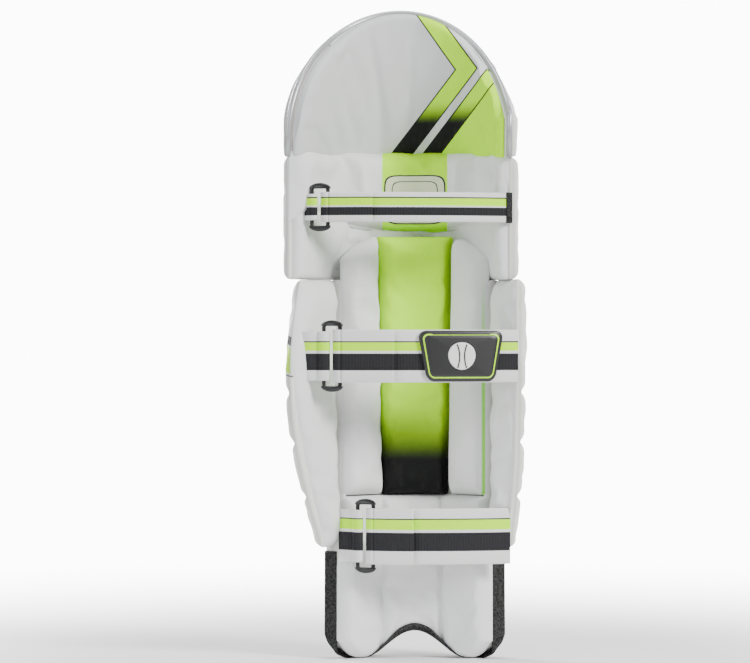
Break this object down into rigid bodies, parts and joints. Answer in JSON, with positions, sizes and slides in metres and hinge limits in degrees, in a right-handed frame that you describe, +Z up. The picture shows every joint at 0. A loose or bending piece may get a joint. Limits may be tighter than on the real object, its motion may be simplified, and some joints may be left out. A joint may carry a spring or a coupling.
{
  "type": "cricket leg pad",
  "caption": "Cricket batter's leg pad with caned shin and top hat, rolled knee bolsters, padded wings and hook-and-loop straps with rings.",
  "frame": {"origin": "on the floor between the two instep lobes, on the middle plane of the caned shin", "axes": "+Z up along the leg, the striking face looks along -Y, the leg goes behind it at +Y, the long outer wing is at +X"},
  "size_m": [0.2686, 0.1938, 0.73],
  "materials": {
    "pu_white": "satin",
    "pu_grey": "satin",
    "lining_white": "matte",
    "lining_silver": "matte",
    "lime_fabric": "matte",
    "binding_black": "matte",
    "webbing": "matte",
    "hook_tape": "matte",
    "foam": "matte",
    "cane": "satin",
    "moulded_black": "satin",
    "badge_rubber": "satin",
    "piping_silver": "satin"
  },
  "bodies": {
    "shin_guard": {"shin_facing": "pu_white", "shin_canes": "cane", "shin_foam": "foam", "shin_backing": "lining_white", "instep_patch": "pu_white", "instep_foam": "foam", "instep_badge": "badge_rubber", "lower_binding": "binding_black", "ankle_liner": "lining_white", "calf_bolster_outer": "lining_white", "calf_bolster_inner": "lining_white", "calf_centre_panel": "lime_fabric", "ankle_strap_tab": "lining_white"},
    "outer_wing": {"outer_wing_cover": "pu_white", "outer_wing_foam": "foam", "outer_wing_liner": "lining_white", "calf_strap_tab": "lining_white"},
    "inner_wing": {"inner_wing_cover": "pu_white", "inner_wing_foam": "foam", "inner_wing_liner": "lining_white"},
    "knee_roll": {"knee_bolster_upper": "pu_white", "knee_bolster_middle": "pu_white", "knee_bolster_lower": "pu_white", "knee_bolster_cores": "foam", "knee_backing": "lining_white", "knee_cushion": "lining_white", "knee_side_outer_cover": "pu_white", "knee_side_outer_foam": "foam", "knee_side_inner_cover": "pu_white", "knee_side_inner_foam": "foam", "knee_side_badge": "badge_rubber", "knee_strap_tab": "lining_white"},
    "top_hat": {"hat_facing": "pu_white", "hat_canes": "cane", "hat_foam": "foam", "hat_liner": "lining_silver", "hat_piping": "piping_silver", "hat_side_outer_cover": "pu_grey", "hat_side_outer_foam": "foam", "hat_side_inner_panel": "pu_white"},
    "knee_strap": {"knee_strap_web": "webbing"},
    "knee_flap": {"knee_strap_flap": "webbing", "knee_strap_hook": "hook_tape"},
    "knee_ring": {"knee_strap_ring": "moulded_black"},
    "calf_strap": {"calf_strap_web": "webbing", "calf_strap_badge": "badge_rubber"},
    "calf_flap": {"calf_strap_flap": "webbing", "calf_strap_hook": "hook_tape"},
    "calf_ring": {"calf_strap_ring": "moulded_black"},
    "ankle_strap": {"ankle_strap_web": "webbing"},
    "ankle_flap": {"ankle_strap_flap": "webbing", "ankle_strap_hook": "hook_tape"},
    "ankle_ring": {"ankle_strap_ring": "moulded_black"}
  },
  "joints": [
    {"name": "outer_wing_flex", "type": "hinge", "parent": "shin_guard", "child": "outer_wing", "pos_m": [0.09878, -0.05211, 0.33564], "axis": [0, 0.0785, -0.9969], "range_deg": [0, 20]},
    {"name": "inner_wing_flex", "type": "hinge", "parent": "shin_guard", "child": "inner_wing", "pos_m": [-0.09878, -0.05211, 0.33564], "axis": [0, -0.0785, 0.9969], "range_deg": [0, 12]},
    {"name": "knee_flex", "type": "hinge", "parent": "shin_guard", "child": "knee_roll", "pos_m": [0, -0.118, 0.424], "axis": [1, 0, 0], "range_deg": [0, 8]},
    {"name": "hat_flex", "type": "hinge", "parent": "knee_roll", "child": "top_hat", "pos_m": [0, -0.122, 0.56], "axis": [1, 0, 0], "range_deg": [0, 12]},
    {"name": "knee_strap_swing", "type": "hinge", "parent": "knee_roll", "child": "knee_strap", "pos_m": [-0.108, -0.008, 0.5035], "axis": [0, 0, 1], "range_deg": [0, 110]},
    {"name": "knee_flap_peel", "type": "hinge", "parent": "knee_strap", "child": "knee_flap", "pos_m": [0.09818, 0.019, 0.5035], "axis": [0, 0, -1], "range_deg": [0, 150]},
    {"name": "knee_ring_turn", "type": "hinge", "parent": "knee_roll", "child": "knee_ring", "pos_m": [0.11377, 0.01215, 0.5035], "axis": [0, 0, -1], "range_deg": [0, 22]},
    {"name": "calf_strap_swing", "type": "hinge", "parent": "inner_wing", "child": "calf_strap", "pos_m": [-0.114, 0.0175, 0.339], "axis": [0, 0, 1], "range_deg": [0, 110]},
    {"name": "calf_flap_peel", "type": "hinge", "parent": "calf_strap", "child": "calf_flap", "pos_m": [0.08417, 0.04601, 0.339], "axis": [0, 0, -1], "range_deg": [0, 150]},
    {"name": "calf_ring_turn", "type": "hinge", "parent": "outer_wing", "child": "calf_ring", "pos_m": [0.09978, 0.03918, 0.339], "axis": [0, 0, -1], "range_deg": [0, 22]},
    {"name": "ankle_strap_swing", "type": "hinge", "parent": "inner_wing", "child": "ankle_strap", "pos_m": [-0.106, -0.0045, 0.139], "axis": [0, 0, 1], "range_deg": [0, 110]},
    {"name": "ankle_flap_peel", "type": "hinge", "parent": "ankle_strap", "child": "ankle_flap", "pos_m": [0.04862, 0.00573, 0.139], "axis": [0, 0, -1], "range_deg": [0, 150]},
    {"name": "ankle_ring_turn", "type": "hinge", "parent": "shin_guard", "child": "ankle_ring", "pos_m": [0.06335, -0.0028, 0.139], "axis": [0, 0, -1], "range_deg": [0, 22]}
  ],
  "couplings": [
    {"joint": "knee_ring_turn", "follows": "knee_strap_swing", "ratio": 0.2},
    {"joint": "calf_ring_turn", "follows": "calf_strap_swing", "ratio": 0.2},
    {"joint": "ankle_ring_turn", "follows": "ankle_strap_swing", "ratio": 0.2}
  ]
}
